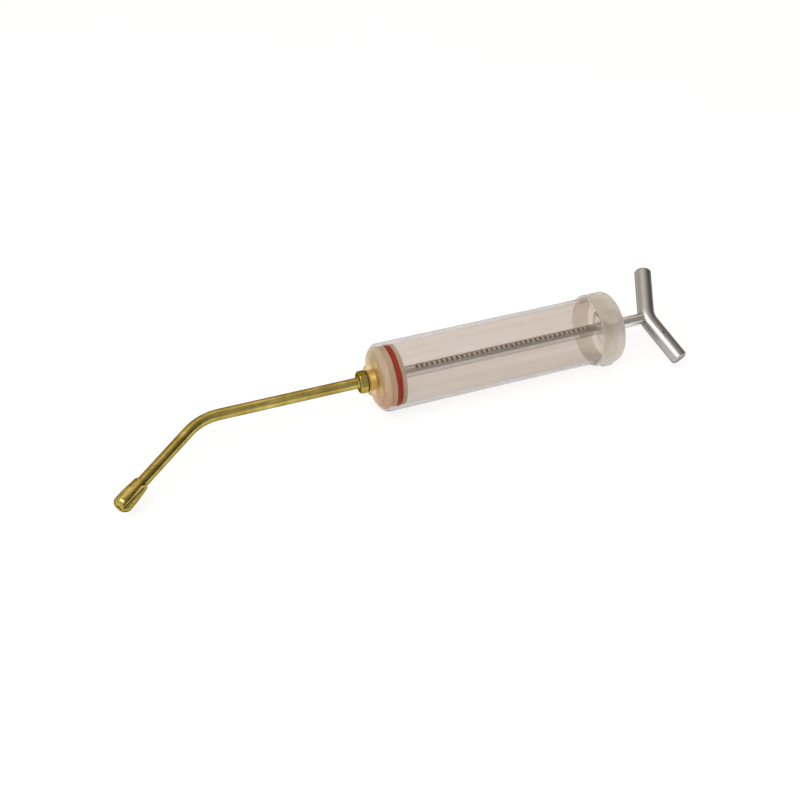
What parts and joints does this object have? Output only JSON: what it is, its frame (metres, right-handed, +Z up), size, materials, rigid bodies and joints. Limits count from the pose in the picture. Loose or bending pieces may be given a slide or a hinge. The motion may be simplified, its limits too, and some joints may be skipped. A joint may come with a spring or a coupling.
{
  "type": "drenching syringe",
  "caption": "Large clear dosing syringe with a bent brass cannula, olive tip, toothed plunger rod, screw cap and V handle.",
  "frame": {"origin": "on the barrel's axis, halfway along the barrel's plain length", "axes": "+X along the barrel from the nozzle to the handle, +Z up with the syringe lying on its side, +Y completes the frame"},
  "size_m": [0.4555, 0.0957, 0.0588],
  "materials": {
    "clear_plastic": "slightly milky clear moulding",
    "cap_plastic": "milky clear moulding",
    "bush_plastic": "natural nylon",
    "brass": "polished and lacquered",
    "red_rubber": "smooth silicone rubber",
    "black_rubber": "matte",
    "rod_steel": "bright drawn steel, plated",
    "spring_steel": "bright wire",
    "handle_aluminium": "satin"
  },
  "bodies": {
    "barrel": {"barrel": "clear_plastic", "nose_washer": "black_rubber"},
    "cannula": {"cannula_union": "brass", "cannula_tube": "brass", "olive_tip": "brass"},
    "piston": {"piston_front": "clear_plastic", "piston_rear": "clear_plastic", "piston_ring": "red_rubber"},
    "plunger": {"plunger_rod": "rod_steel", "piston_screw": "brass", "rod_washer": "rod_steel", "handle_bar": "handle_aluminium"},
    "bush": {"rod_bush": "bush_plastic"},
    "cap": {"rear_cap": "cap_plastic", "catch_spring": "spring_steel"}
  },
  "joints": [
    {"name": "plunger_slide", "type": "slide", "parent": "barrel", "child": "piston", "axis": [1, 0, 0], "range_m": [0, 0.168]},
    {"name": "plunger_turn", "type": "hinge", "parent": "piston", "child": "plunger", "pos_m": [0, 0, 0], "axis": [1, 0, 0], "continuous": true},
    {"name": "cannula_turn", "type": "hinge", "parent": "barrel", "child": "cannula", "pos_m": [-0.098, 0, 0], "axis": [1, 0, 0], "range_deg": [-180, 180]},
    {"name": "cap_travel", "type": "slide", "parent": "barrel", "child": "bush", "axis": [1, 0, 0], "range_m": [0, 0.009]},
    {"name": "cap_unscrew", "type": "hinge", "parent": "bush", "child": "cap", "pos_m": [0.097, 0, 0], "axis": [1, 0, 0], "range_deg": [0, 1100]}
  ],
  "couplings": [
    {"joint": "cap_unscrew", "follows": "cap_travel", "rad_per_m": 2094.4}
  ]
}
